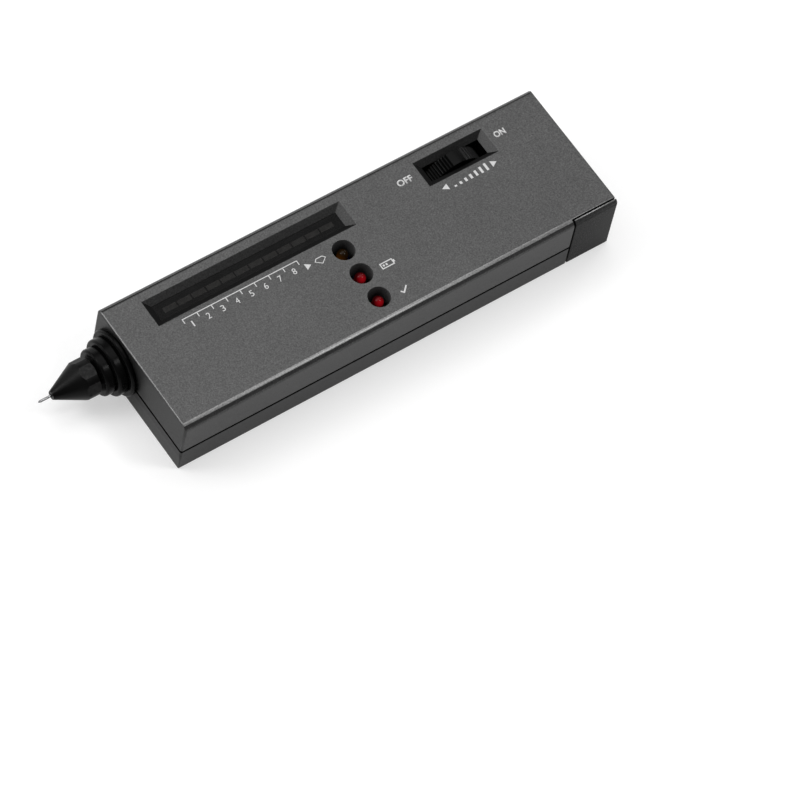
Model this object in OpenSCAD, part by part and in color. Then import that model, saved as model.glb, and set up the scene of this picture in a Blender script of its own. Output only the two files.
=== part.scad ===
// Pocket gem tester with a heated needle probe, a bar display, three lamps and a volume wheel.
// Millimetres, Z up. X runs from the probe to the battery end, Y to the side with the display.
// The origin is under the middle of the whole length, on the table.
// Inside the modules x is counted from the front face of the housing.

/* [Housing] */
// Length of the housing without the probe
body_len = 134; // [130:1:146]
// Width of the housing
body_w = 40; // [40:0.5:46]
// Height of the housing
body_h = 20.5; // [20.5:0.1:22]
// Height of the seam between the two shells
seam_z = 8.9; // [8.4:0.1:9.6]
// Thickness of the side walls
side_wall = 1.8; // [1.6:0.1:1.8]
// Thickness of the top
top_wall = 1.6; // [1.4:0.1:1.8]
// Thickness of the floor
floor_wall = 1.4; // [1.2:0.1:1.4]
// Radius of the two long top edges
edge_r = 2.1; // [1.2:0.1:2.4]
// Radius of the upright corners and of the lower long edges
corner_r = 0.6; // [0.4:0.1:1]
// Radius of the front top edge
front_r = 0.4; // [0.2:0.1:0.8]
// Radius of the two edges across the battery end
end_r = 0.6; // [0.4:0.1:1]
// Distance by which the battery end leans out at its foot
end_lean = 1.1; // [0.5:0.1:1.5]
// Height of the dark groove along the seam
groove_h = 0.8; // [0.4:0.1:0.9]
// Depth of the dark groove along the seam
groove_depth = 0.6; // [0.3:0.1:0.8]

/* [Display] */
// Distance from the front face to the display recess
display_x = 10.4; // [9.4:0.2:11]
// Distance from the display recess to the rear edge of the circuit board
display_back = 6; // [5:0.2:8]
// Width of the display recess and of the wheel slot
slot_w = 8; // [7.8:0.1:8.2]
// Sideways position of both recesses, as a share of the width
slot_share = 0.3; // [0.295:0.005:0.305]
// Slope of the long walls of both recesses, as an inset
slot_side_inset = 1.7; // [1.4:0.1:1.7]
// Slope of the end walls of both recesses, as an inset
slot_end_inset = 2.1; // [1.5:0.1:2.4]
// Thickness of the smoked window
window_t = 0.3; // [0.3:0.1:0.6]
// Number of bar segments
segments = 12; // [10:1:12]
// Distance from the ends of the recess to the bar segments
segment_margin = 4.1; // [4:0.05:5]
// Width of a bar segment
segment_w = 1.5; // [1.4:0.1:2]

/* [Lamps] */
// Diameter of the lamp holes
lamp_hole_d = 6; // [5:0.1:6.4]
// Distance from the row of lamps to the rear end of the display recess
lamp_back = 7.2; // [6.8:0.1:8]
// Sideways position of the amber lamp, as a share of the width
lamp_share = 0.0825; // [0.075:0.0025:0.085]
// Spacing of the lamps, as a share of the width
lamp_pitch_share = 0.19875; // [0.19:0.00125:0.2]
// Diameter of a lamp
lamp_d = 3; // [2.6:0.1:3.4]
// Depth of the lamp tops below the housing top
lamp_sink = 0.8; // [0.4:0.1:1.6]

/* [Volume wheel] */
// Space between the wheel and the floor
wheel_foot = 1.3; // [1:0.1:2]
// Width of the wheel
wheel_w = 3.9; // [3.6:0.1:4]
// Distance from the wheel axis to the battery end
wheel_back = 29.4; // [29:0.1:31]
// Height of the wheel rim above the housing top
wheel_rise = 0.2; // [0:0.1:0.8]
// Number of knurl steps round the whole rim
wheel_steps = 64; // [48:1:72]
// Knurl steps that are left plain
wheel_plain_steps = 4; // [2:1:10]
// Length of the wheel slot at the top
wheel_slot_len = 21.8; // [20.5:0.1:22.5]

/* [Battery] */
// Length of the battery without its studs
battery_len = 46; // [44:0.5:46.5]
// Space round the battery
bay_clear = 0.3; // [0.2:0.1:0.6]
// Spacing of the two battery studs
stud_pitch = 12.7; // [11:0.1:13]

/* [End cap] */
// Length of the end cap
cap_len = 13.4; // [12:0.1:15]
// Width of the seam in front of the end cap
cap_gap = 0.6; // [0.4:0.1:1]
// Thickness of the end wall of the cap
cap_wall = 1.8; // [1.4:0.1:2]
// Distance from the near side to the seam on the top
tongue_inset = 1.6; // [1.4:0.05:1.8]
// Width of the seam on the top
tongue_gap = 0.4; // [0.3:0.05:0.5]
// Thickness of the foam pad
foam_t = 1; // [0.5:0.1:1.2]

/* [Probe] */
// Sideways position of the probe axis, as a share of the width
probe_share = 0.2325; // [0.22:0.0025:0.24]
// Distance of the probe axis below the middle of the inner height
probe_drop = 0.25; // [0:0.05:0.3]
// Diameter of the needle
needle_d = 0.7; // [0.5:0.05:0.9]
// Bare length of the needle
needle_out = 3.8; // [3:0.1:4.5]
// Diameter of the flat end of the nose
nose_tip_d = 2.4; // [2:0.1:2.8]
// Diameter of the nose
nose_d = 10.5; // [10:0.1:11]
// Length of the cone of the nose
cone_len = 8.2; // [7.6:0.1:9]
// Length of the nose behind the cone
nose_band = 3.5; // [3.2:0.1:4]
// Distance across the wrench flats of the nose
nose_flats = 9.9; // [9.4:0.1:10]
// Turn of the wrench flats about the probe axis
nose_turn = 40; // [0:1:59]
// Length of the collar in front of the housing
collar_len = 7.1; // [6.8:0.1:7.6]
// Spacing of the collar rings
ring_pitch = 2.8; // [2.5:0.1:2.8]
// Diameter of the foremost collar ring
ring_d = 12.9; // [12.6:0.1:13]
// Height of the rearmost collar ring above the table
ring_foot = 0.65; // [0.5:0.05:1]
// Rounding of the ring edges
ring_r = 0.7; // [0.4:0.1:0.9]
// Travel of the needle when it is pressed in
needle_travel = 1.2; // [0.6:0.1:1.4]

/* [Board] */
// Thickness of the circuit board
board_t = 1.6; // [1.2:0.1:1.6]
// Height of the board posts above the floor
post_h = 2.8; // [2.4:0.1:2.8]

/* [Hidden] */
$fn = 48;
// Lap by which cuts run past a face
lap = 1;
// Clearance between fixed pieces that fit together
fit = 0.1;
// Radial clearance of a turning or sliding fit
run = 0.05;
// Open space between pieces that pass each other
pass = 0.4;
half_w = body_w / 2;
in_y = half_w - side_wall;
roof_z = body_h - top_wall;
cap_x = body_len - cap_len;
shell_end = cap_x - cap_gap;
lip_t = 0.8;
lip_h = 1.2;
cap_lip = 3;
// Angle at which the battery end and the seam before it lean
lean = atan(end_lean / body_h);
slot_y = slot_share * body_w;
// Volume wheel
wheel_d = body_h + wheel_rise - floor_wall - wheel_foot;
wheel_x = body_len - wheel_back;
wheel_r = wheel_d / 2;
wheel_z = body_h + wheel_rise - wheel_r;
wheel_near = slot_y - wheel_w / 2;
wheel_far = slot_y + wheel_w / 2;
knurl_w = 0.5;
wheel_recess_r = 3.4;
wheel_recess = 1;
wheel_screw_r = 2.5;
wheel_screw_h = 1;
wheel_shank_r = 0.7;
wheel_shank_len = 2.6;
// Battery bay
rib_t = 0.8;
rib_gap = 0.6;
rib_z = roof_z - 2.7;
rib_y = wheel_near - rib_gap - rib_t;
battery_x1 = body_len - cap_wall - foam_t - fit;
battery_x0 = battery_x1 - battery_len;
battery_y0 = -in_y + pass;
battery_y1 = rib_y - bay_clear;
battery_y = (battery_y0 + battery_y1) / 2;
battery_w = battery_y1 - battery_y0;
battery_t = roof_z - floor_wall - bay_clear;
battery_z = floor_wall + battery_t / 2;
battery_corner = 2;
foam_w = 16;
foam_h = 10;
stud_h = 2.2;
stud_r = 2.75;
ring_in = 3;
ring_out = 4.2;
snap_t = 1.8;
snap_r = 5.5;
snap_x = battery_x0 - stud_h - fit - snap_t;
snap_room = 2.6;
bay_wall_t = 1.2;
bay_x = snap_x - snap_room - bay_wall_t;
// Circuit board, with an arm that passes the wheel
board_gap = 0.6;
board_x0 = 4;
board_x1 = bay_x - board_gap;
board_len = board_x1 - board_x0;
board_y = in_y - pass;
board_z = floor_wall + post_h;
board_top = board_z + board_t;
arm_y = wheel_far + pass;
arm_room = 2.6;
// Display
display_len = board_x1 - display_back - display_x;
display_mid = display_x + display_len / 2;
window_ledge = 0.4;
segment_pitch = (display_len - 2 * segment_margin) / segments;
segment_gap = 0.4;
holder_top = roof_z - window_t;
holder_h = 6.5;
holder_wall = 1.1;
holder_end = 1.4;
holder_w = segment_w + 2 * holder_wall;
holder_len = segments * segment_pitch + 2 * lap;
// Volume control behind the wheel
pot_r = wheel_z - board_top - fit;
pot_shaft_r = 2;
pot_back = 0.8;
pot_t = in_y - fit - arm_y;
rotor_end = 1;
rotor_sink = 0.8;
rotor_bore_r = 0.75;
rotor_bore = 3;
arm_x1 = wheel_x + pot_r + arm_room;
// Housing screws
screw_r = 1;
screw_hole_r = 1.2;
screw_head_r = 1.9;
screw_head_h = 1.6;
screw_sink = 2.2;
screw_len = 12;
screw_slot = 0.5;
boss_r = 3;
top_boss_r = 2.3;
boss_side = -in_y + boss_r + 0.7;
screw_places = [
  [7.5, boss_side],
  [board_x1 - boss_r - fit, boss_side],
  [bay_x + 7.8, rib_y + boss_r - 0.2],
  [shell_end - boss_r - pass, slot_y + 1.8]
];
// The board leaves room for the two bosses on the near side
notch_y = boss_side + boss_r + 0.5;
notch_x0 = screw_places[0][0] + boss_r + 0.5;
notch_x1 = screw_places[1][0] - boss_r - 0.5;
// Lamps
lamp_x = display_x + display_len - lamp_back;
lamp_y = lamp_share * body_w;
lamp_pitch = lamp_pitch_share * body_w;
lamp_top = body_h - lamp_sink;
lamp_body = 4.3;
lamp_flange = 1;
lamp_rim = 0.4;
lamp_leg = 1.1;
lamp_base = lamp_top - lamp_body - lamp_flange;
lamp_tube_z = body_h - 6;
lamp_tube_wall = 0.8;
lead_r = 0.25;
// Board screws, and places of the parts as shares of the board's length and of the width
board_head_r = 1.7;
board_head_h = 1.2;
board_screw_len = 3.8;
board_screw_places = [
  board_place(0.165, -0.3625),
  [board_x1 - display_back + 0.2, slot_y],
  [lamp_x + board_head_r + board_head_h, boss_side - 0.5]
];
post_r = 2.2;
post_hole_r = 0.85;
board_screw_r = 0.8;
board_hole_r = 1.1;
chip_places = [board_place(0.358, -0.03), board_place(0.358, -0.25)];
chip_shares = [0.316, 0.246];
pin_pitch = 2.54;
pin_w = 0.5;
pin_t = 0.3;
pin_h = 2.2;
chip_w = 6.4;
chip_h = 3.3;
chip_lift = 0.5;
chip_notch_r = 0.9;
can_places = [board_place(0.709, 0.11), board_place(0.62, -0.385), board_place(0.904, -0.135)];
can_r = 2.1;
can_h = 7;
can_groove = 0.2;
resistor_places = [
  board_place(0.248, 0.16),
  board_place(0.399, 0.16),
  board_place(0.551, 0.16),
  board_place(0.33, -0.3925),
  board_place(0.5, -0.3925),
  board_place(0.599, 0.0125)
];
resistor_r = 1;
resistor_len = 5.6;
resistor_span = 7.9;
resistor_lift = 1.2;
transistor_places = [board_place(0.131, -0.15), board_place(0.131, 0)];
transistor_d = 4.6;
transistor_h = 4.6;
transistor_lift = 2;
transistor_flat = 1.4;
transistor_pitch = 1.27;
trimmer_place = board_place(0.917, 0.11);
trimmer_w = 6.6;
trimmer_h = 4.2;
trimmer_knob_r = 2.4;
trimmer_knob_h = 0.6;
trimmer_slot = 0.6;
buzzer_r = 5.5;
buzzer_h = 8;
buzzer_hole_r = 1;
buzzer_x = lamp_x - lamp_hole_d / 2 - buzzer_r - 1.9;
buzzer_y = -0.19 * body_w;
// Probe stations along the axis
probe_y = probe_share * body_w;
probe_z = (floor_wall + roof_z) / 2 - probe_drop;
ring_step = (2 * (probe_z - ring_foot) - ring_d) / 2;
nose_gap = 0.7;
nose_chamfer = 0.3;
collar_x0 = -collar_len;
nose_x1 = collar_x0 - nose_gap;
cone_x1 = nose_x1 - nose_band;
nose_x0 = cone_x1 - cone_len;
needle_x0 = nose_x0 - needle_out;
probe_reach = -needle_x0;
needle_r = needle_d / 2;
needle_point = 0.5;
needle_blunt = 0.45;
needle_end = 0.6;
press_fit = 0.01;
nose_step_x = nose_x0 + 3.5;
slider_r = 1.7;
slider_bore_r = slider_r + run;
slider_x0 = nose_step_x + run;
heater_len = 2.4;
slider_len = 3.9;
slider_x1 = slider_x0 + slider_len;
stem_r = 0.85;
tube_r = 3.4;
tube_front_r = 3.2;
tube_seat = 2.5;
tube_x0 = nose_x1 - tube_seat;
tube_x1 = 11.5;
spring_x1 = collar_x0 + 2.9;
spring_bore_r = 1.9;
stem_bore_r = 1.1;
// The stem comes level with the spring seat when the needle is pressed in
stem_len = spring_x1 - slider_x1 - needle_travel;
sensor_r = 0.5;
sensor_len = 1.8;
sensor_bore = 3;
plug_len = 2;
plug_r = 2.6;
collar_neck_r = 6;
collar_flange_r = (roof_z - floor_wall) / 2 - 1.15;
collar_flange_t = 1.5;
// Spring of the needle
spring_turns = 8;
spring_wire = 0.3;
spring_r = 1.3;
spring_rings = 8;
spring_sides = 6;
spring_x0 = slider_x1 + spring_wire / 2;
spring_len = spring_x1 - slider_x1 - spring_wire;
// Leads
wire_r = 0.6;
wire_bend = 2;
wire_z = board_top + 5.2;
wire_gap = 1.5;
wire_end = 2.2;
wire_notch = 8;
probe_wire_r = 0.3;
probe_wire_bend = 1.5;
probe_wire_out = 0.8;
probe_wire_pitch = 0.8;
probe_wire_side = 2.3;
front_x = (probe_reach - body_len - end_lean) / 2;
// Colours
grey_paint = [0.37, 0.37, 0.38];
black_part = [0.06, 0.06, 0.06];
steel = [0.75, 0.76, 0.78];
brass = [0.78, 0.62, 0.3];

// Place on the board, as shares of its length and of the housing's width
function board_place(along, across) = [board_x0 + along * board_len, across * body_w];

// Middle of one bar segment
function segment_x(i) = display_mid + (i - (segments - 1) / 2) * segment_pitch;

// Moves the housing's front face to its place in the shared frame
module in_frame() {
  translate([front_x, 0, 0]) children();
}

// Sweeps a section drawn in Y and Z along X
module along_x(length) {
  rotate([90, 0, 90]) linear_extrude(length) children();
}

// Puts a piece drawn along Z on the probe axis
module on_probe() {
  translate([0, probe_y, probe_z]) rotate([0, 90, 0]) children();
}

// Puts a piece drawn along Z on the wheel axis, from the far side inwards
module on_wheel(y) {
  translate([wheel_x, y, wheel_z]) rotate([90, 0, 0]) children();
}

// Housing section with rounded long edges
module body_section() {
  translate([-half_w, corner_r]) square([body_w, body_h - edge_r - corner_r]);
  translate([-half_w + corner_r, 0]) square([body_w - 2 * corner_r, body_h - edge_r]);
  translate([-half_w + edge_r, corner_r]) square([body_w - 2 * edge_r, body_h - corner_r]);
  for (side = [-1, 1]) {
    translate([side * (half_w - corner_r), corner_r]) circle(corner_r);
    translate([side * (half_w - edge_r), body_h - edge_r]) circle(edge_r);
  }
}

// Housing seen from above, with its front corners
module front_plan() {
  translate([corner_r, -half_w]) square([2 * body_len, body_w]);
  translate([0, -half_w + corner_r]) square([2 * body_len, body_w - 2 * corner_r]);
  for (side = [-1, 1]) {
    translate([corner_r, side * (half_w - corner_r)]) circle(corner_r);
  }
}

// The same with its rear corners, counted from the battery end
module rear_plan() {
  translate([-body_len - corner_r, -half_w]) square([body_len, body_w]);
  translate([-body_len, -half_w + corner_r]) square([body_len, body_w - 2 * corner_r]);
  for (side = [-1, 1]) {
    translate([-corner_r, side * (half_w - corner_r)]) circle(corner_r);
  }
}

// Housing seen from the side, with its front top edge and the two edges of the battery end
module side_view() {
  top_x = body_len - end_r * (1 - sin(lean)) / cos(lean);
  foot_x = body_len + ((body_h - end_r) * sin(lean) - end_r) / cos(lean);
  square([foot_x, body_h / 2]);
  square([top_x, body_h - front_r]);
  translate([front_r, 0]) square([top_x - front_r, body_h]);
  translate([body_len / 2, end_r * (1 + sin(lean))]) square([body_len, body_h - 2 * end_r]);
  translate([front_r, body_h - front_r]) circle(front_r);
  translate([top_x, body_h - end_r]) circle(end_r);
  translate([foot_x, end_r]) circle(end_r);
}

// Leans a piece like the battery end, about a line across the top
module leaning(x) {
  translate([x, 0, body_h]) rotate([0, -lean, 0]) translate([0, 0, -2 * body_h]) children();
}

// All that lies before or behind a plane across the housing that leans like the battery end
module ahead_of(x) {
  leaning(x) translate([-2 * body_len, -body_w, 0]) cube([2 * body_len, 2 * body_w, 3 * body_h]);
}

module behind(x) {
  leaning(x) translate([0, -body_w, 0]) cube([2 * body_len, 2 * body_w, 3 * body_h]);
}

module body_block() {
  intersection() {
    along_x(body_len + end_lean) body_section();
    linear_extrude(body_h) front_plan();
    rotate([90, 0, 0]) linear_extrude(2 * body_w, center = true) side_view();
    leaning(body_len) linear_extrude(3 * body_h) rear_plan();
  }
}

// Outline of a recess with sloped walls, from its rim down
module slot_outline(size, inset) {
  polygon([
    [-size / 2, lap],
    [-size / 2, 0],
    [-size / 2 + inset, -top_wall],
    [-size / 2 + inset, -top_wall - lap],
    [size / 2 - inset, -top_wall - lap],
    [size / 2 - inset, -top_wall],
    [size / 2, 0],
    [size / 2, lap]
  ]);
}

module sloped_cut(mid_x, length) {
  translate([mid_x, slot_y, body_h]) intersection() {
    rotate([90, 0, 0]) linear_extrude(slot_w + lap, center = true) slot_outline(length, slot_end_inset);
    rotate([90, 0, 90]) linear_extrude(length + lap, center = true) slot_outline(slot_w, slot_side_inset);
  }
}

// Hole for the neck of the collar
module probe_hole() {
  on_probe() translate([0, 0, -lap]) cylinder(r = collar_neck_r + fit, h = side_wall + 2 * lap);
}

// Room for the lips of the end cap in the shell walls
module cap_lip_room() {
  for (side = [-1, 1]) {
    translate([shell_end - cap_lip, side > 0 ? in_y - lap : -in_y - lip_t - fit, floor_wall])
      cube([cap_lip + end_lean + lap, lip_t + fit + lap, rib_z - floor_wall + fit]);
  }
}

// Inner lip along the seam, grown by a clearance where it is cut out
module seam_lip(clear) {
  edge = lip_t + clear;
  difference() {
    translate([side_wall - edge, -in_y - edge, seam_z - lap])
      cube([shell_end - cap_lip - 2 * lap - side_wall + edge, 2 * (in_y + edge), lip_h + lap + clear]);
    translate([side_wall, -in_y, seam_z - 2 * lap])
      cube([body_len, 2 * in_y, lip_h + 4 * lap]);
  }
}

module top_shell() {
  color(grey_paint)
  difference() {
    union() {
      difference() {
        intersection() {
          body_block();
          union() {
            intersection() {
              translate([-lap, -half_w, seam_z]) cube([2 * body_len, body_w, body_h]);
              ahead_of(shell_end);
            }
            translate([0, -half_w + tongue_inset, roof_z])
              cube([2 * body_len, body_w - tongue_inset, body_h]);
          }
        }
        translate([side_wall, -in_y, seam_z - lap])
          cube([body_len, 2 * in_y, roof_z - seam_z + lap]);
      }
      for (i = [0 : 2]) {
        translate([lamp_x, lamp_y - i * lamp_pitch, lamp_tube_z])
          cylinder(r = lamp_hole_d / 2 + lamp_tube_wall, h = body_h - top_wall / 2 - lamp_tube_z);
      }
      for (p = screw_places) {
        translate([p[0], p[1], seam_z])
          cylinder(r = top_boss_r, h = body_h - top_wall / 2 - seam_z);
      }
    }
    sloped_cut(display_mid, display_len);
    sloped_cut(wheel_x, wheel_slot_len);
    for (i = [0 : 2]) {
      translate([lamp_x, lamp_y - i * lamp_pitch, lamp_tube_z - lap])
        cylinder(d = lamp_hole_d, h = body_h);
    }
    for (p = screw_places) {
      translate([p[0], p[1], seam_z - lap])
        cylinder(r = screw_r + run, h = screw_len - seam_z + screw_sink + 2 * lap);
    }
    probe_hole();
    seam_lip(fit);
    cap_lip_room();
  }
}

module bottom_shell() {
  color(grey_paint)
  difference() {
    union() {
      difference() {
        intersection() {
          body_block();
          translate([-lap, -half_w, 0]) cube([2 * body_len, body_w, seam_z]);
          ahead_of(shell_end);
        }
        translate([side_wall, -in_y, floor_wall]) cube([body_len, 2 * in_y, body_h]);
        seam_groove();
      }
      seam_lip(0);
      for (p = screw_places) {
        translate([p[0], p[1], floor_wall / 2]) cylinder(r = boss_r, h = seam_z - floor_wall / 2);
      }
      for (p = board_screw_places) {
        translate([p[0], p[1], floor_wall / 2]) cylinder(r = post_r, h = board_z - floor_wall / 2);
      }
      translate([bay_x, -in_y, floor_wall / 2])
        cube([bay_wall_t, in_y + rib_y, rib_z - floor_wall / 2]);
      translate([bay_x, rib_y, floor_wall / 2])
        cube([shell_end - bay_x, rib_t, rib_z - floor_wall / 2]);
    }
    for (p = screw_places) {
      translate([p[0], p[1], -lap]) cylinder(r = screw_hole_r, h = seam_z + 2 * lap);
      translate([p[0], p[1], -lap]) cylinder(r = screw_head_r + fit, h = screw_sink + lap);
      translate([p[0], p[1], seam_z]) cylinder(r = boss_r + fit, h = body_h);
    }
    for (p = board_screw_places) {
      translate([p[0], p[1], floor_wall]) cylinder(r = post_hole_r, h = body_h);
    }
    translate([bay_x - lap, battery_y - wire_notch / 2, wire_z - wire_bend])
      cube([bay_wall_t + 2 * lap, wire_notch, body_h]);
    probe_hole();
    cap_lip_room();
  }
}

// Groove round the top edge of the lower shell
module seam_groove() {
  difference() {
    translate([-lap, -half_w - lap, seam_z - groove_h])
      cube([2 * body_len, body_w + 2 * lap, groove_h + lap]);
    translate([groove_depth, -half_w + groove_depth, 0])
      cube([3 * body_len, body_w - 2 * groove_depth, body_h]);
  }
}

module battery_cap() {
  color(grey_paint) {
    difference() {
      intersection() {
        body_block();
        behind(cap_x);
      }
      translate([0, -in_y, floor_wall]) cube([body_len - cap_wall, 2 * in_y, body_h]);
      translate([0, -half_w + tongue_inset - tongue_gap, roof_z - tongue_gap])
        cube([2 * body_len, body_w, body_h]);
    }
    for (side = [-1, 1]) {
      translate([cap_x - cap_lip, side > 0 ? in_y : -in_y - lip_t, floor_wall + fit])
        cube([cap_lip + end_lean + lap, lip_t, rib_z - floor_wall - 2 * fit]);
    }
  }
}

module cap_foam() {
  color([0.2, 0.2, 0.22])
    translate([body_len - cap_wall - foam_t, battery_y - foam_w / 2, battery_z - foam_h / 2])
      cube([foam_t, foam_w, foam_h]);
}

// Round headed screw with a cross slot, head down
module screw(head_r, head_h, shank_r, length) {
  difference() {
    union() {
      cylinder(r = head_r, h = head_h);
      cylinder(r = shank_r, h = head_h + length);
    }
    for (turn = [0, 90]) {
      rotate([0, 0, turn]) translate([-head_r * 0.6, -screw_slot / 2, -lap])
        cube([head_r * 1.2, screw_slot, lap + head_h / 2]);
    }
  }
}

module housing_screws() {
  color(steel)
    for (p = screw_places) {
      translate([p[0], p[1], screw_sink - screw_head_h])
        screw(screw_head_r, screw_head_h, screw_r, screw_len);
    }
}

module display_window() {
  length = display_len + 2 * window_ledge;
  width = slot_w + 2 * window_ledge;
  color([0.12, 0.1, 0.1])
    translate([display_mid - length / 2, slot_y - width / 2, roof_z - window_t])
      cube([length, width, window_t]);
}

module bar_leds() {
  length = segment_pitch - segment_gap;
  color([0.55, 0.2, 0.16])
    for (i = [0 : segments - 1]) {
      translate([segment_x(i), slot_y, 0]) {
        translate([-length / 2, -segment_w / 2, holder_top - holder_h])
          cube([length, segment_w, holder_h - fit]);
        for (side = [-1, 1]) {
          translate([side * lamp_leg, 0, board_top])
            cylinder(r = lead_r, h = holder_top - holder_h + lap - board_top);
        }
      }
    }
}

module bar_holder() {
  window = segment_pitch - segment_gap + 2 * run;
  color(black_part)
  difference() {
    translate([display_mid - holder_len / 2, slot_y - holder_w / 2, board_top])
      cube([holder_len, holder_w, holder_top - board_top]);
    translate([display_mid - holder_len / 2 + holder_end, slot_y - holder_w, board_top - lap])
      cube([holder_len - 2 * holder_end, 2 * holder_w, holder_top - holder_h - board_top + lap]);
    for (i = [0 : segments - 1]) {
      translate([segment_x(i) - window / 2, slot_y - segment_w / 2 - run, board_top - lap])
        cube([window, segment_w + 2 * run, body_h]);
    }
  }
}

// Round lamp on two legs that stand on the board
module lamp(i) {
  translate([lamp_x, lamp_y - i * lamp_pitch, 0]) {
    translate([0, 0, lamp_base]) cylinder(r = lamp_d / 2 + lamp_rim, h = lamp_flange);
    translate([0, 0, lamp_base]) cylinder(d = lamp_d, h = lamp_top - lamp_d / 2 - lamp_base);
    translate([0, 0, lamp_top - lamp_d / 2]) sphere(d = lamp_d);
    for (side = [-1, 1]) {
      translate([side * lamp_leg, 0, board_top])
        cylinder(r = lead_r, h = lamp_base - board_top + lamp_flange / 2);
    }
  }
}

module lamp_amber() {
  color([0.55, 0.36, 0.2]) lamp(0);
}

module lamp_red_middle() {
  color([0.6, 0.08, 0.06]) lamp(1);
}

module lamp_red_near() {
  color([0.6, 0.08, 0.06]) lamp(2);
}

module main_board() {
  color([0.1, 0.35, 0.18])
  difference() {
    translate([0, 0, board_z]) linear_extrude(board_t) board_outline();
    for (p = board_screw_places) {
      translate([p[0], p[1], 0]) cylinder(r = board_hole_r, h = body_h);
    }
  }
}

module board_outline() {
  polygon([
    [board_x0, notch_y],
    [notch_x0, notch_y],
    [notch_x0, -board_y],
    [notch_x1, -board_y],
    [notch_x1, notch_y],
    [board_x1, notch_y],
    [board_x1, arm_y],
    [arm_x1, arm_y],
    [arm_x1, board_y],
    [board_x0, board_y]
  ]);
}

module board_screws() {
  color(steel)
    for (p = board_screw_places) {
      translate([p[0], p[1], board_top + board_head_h]) mirror([0, 0, 1])
        screw(board_head_r, board_head_h, board_screw_r, board_screw_len);
    }
}

// Chip in a two-row package, standing on its pins
module chip(pins) {
  length = pins * pin_pitch;
  row = chip_w / 2;
  difference() {
    translate([-length / 2, -row, chip_lift]) cube([length, chip_w, chip_h]);
    translate([-length / 2, 0, chip_h]) cylinder(r = chip_notch_r, h = chip_h);
  }
  for (i = [0 : pins - 1]) {
    for (side = [-1, 1]) {
      translate([(i - (pins - 1) / 2) * pin_pitch, side * row, 0]) {
        translate([-pin_w / 2, side * (pin_w - pin_t / 2) - pin_t / 2, 0]) cube([pin_w, pin_t, pin_h]);
        translate([-pin_w / 2, -pin_w, pin_h - pin_t]) cube([pin_w, 2 * pin_w, pin_t]);
      }
    }
  }
}

module chips() {
  color([0.09, 0.09, 0.1])
    for (i = [0 : 1]) {
      translate([chip_places[i][0], chip_places[i][1], board_top])
        chip(floor(chip_shares[i] * board_len / pin_pitch));
    }
}

module capacitors() {
  color([0.12, 0.16, 0.32])
    for (p = can_places) {
      translate([p[0], p[1], board_top]) rotate_extrude() polygon([
        [0, 0],
        [can_r, 0],
        [can_r, 4 * can_groove],
        [can_r - can_groove, 5 * can_groove],
        [can_r, 6 * can_groove],
        [can_r, can_h - can_groove],
        [can_r - can_groove, can_h],
        [0, can_h]
      ]);
    }
}

module resistors() {
  color([0.72, 0.58, 0.4])
    for (p = resistor_places) {
      translate([p[0], p[1], board_top + resistor_lift]) {
        rotate([0, 90, 0]) cylinder(r = resistor_r, h = resistor_len, center = true);
        rotate([0, 90, 0]) cylinder(r = lead_r, h = resistor_span + 2 * lead_r, center = true);
        for (side = [-1, 1]) {
          translate([side * resistor_span / 2, 0, -resistor_lift]) cylinder(r = lead_r, h = resistor_lift);
        }
      }
    }
}

module transistors() {
  color([0.08, 0.08, 0.08])
    for (p = transistor_places) {
      translate([p[0], p[1], board_top]) {
        intersection() {
          translate([0, 0, transistor_lift]) cylinder(d = transistor_d, h = transistor_h);
          translate([-transistor_flat, -transistor_d, 0])
            cube([2 * transistor_d, 2 * transistor_d, transistor_lift + transistor_h]);
        }
        for (i = [-1 : 1]) {
          translate([0, i * transistor_pitch, 0]) cylinder(r = lead_r, h = transistor_lift + lap);
        }
      }
    }
}

module trimmer() {
  color([0.12, 0.25, 0.6])
    translate([trimmer_place[0], trimmer_place[1], board_top]) difference() {
      union() {
        translate([-trimmer_w / 2, -trimmer_w / 2, 0]) cube([trimmer_w, trimmer_w, trimmer_h]);
        cylinder(r = trimmer_knob_r, h = trimmer_h + trimmer_knob_h);
      }
      translate([-trimmer_w / 3, -trimmer_slot / 2, trimmer_h])
        cube([trimmer_w * 2 / 3, trimmer_slot, trimmer_h]);
    }
}

module buzzer() {
  color([0.07, 0.07, 0.07])
    translate([buzzer_x, buzzer_y, board_top]) difference() {
      cylinder(r = buzzer_r, h = buzzer_h);
      translate([0, 0, buzzer_h - lap]) cylinder(r = buzzer_hole_r, h = 2 * lap);
    }
}

// Rim with fine grooves, except for a plain stretch
module wheel_outline() {
  step = 360 / wheel_steps;
  difference() {
    circle(wheel_r, $fn = 120);
    for (i = [wheel_plain_steps : wheel_steps - 1]) {
      rotate(90 + (i - (wheel_plain_steps - 1) / 2) * step)
        translate([wheel_r, 0]) rotate(45) square(knurl_w, center = true);
    }
    circle(pot_shaft_r + fit);
  }
}

module volume_wheel() {
  color(black_part)
    on_wheel(wheel_far) difference() {
      linear_extrude(wheel_w) wheel_outline();
      translate([0, 0, wheel_w - wheel_recess]) cylinder(r = wheel_recess_r, h = wheel_recess + lap);
    }
}

module wheel_screw() {
  color(steel)
    on_wheel(wheel_near + rotor_sink - wheel_screw_h)
      mirror([0, 0, 1]) screw(wheel_screw_r, wheel_screw_h, wheel_shank_r, wheel_shank_len);
}

module pot_rotor() {
  shaft_len = wheel_w - rotor_sink + pass + pot_t - rotor_end;
  color([0.85, 0.85, 0.82])
    on_wheel(wheel_far + pass + pot_t - rotor_end) difference() {
      cylinder(r = pot_shaft_r, h = shaft_len);
      translate([0, 0, shaft_len - rotor_bore]) cylinder(r = rotor_bore_r, h = rotor_bore + lap);
    }
}

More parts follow.
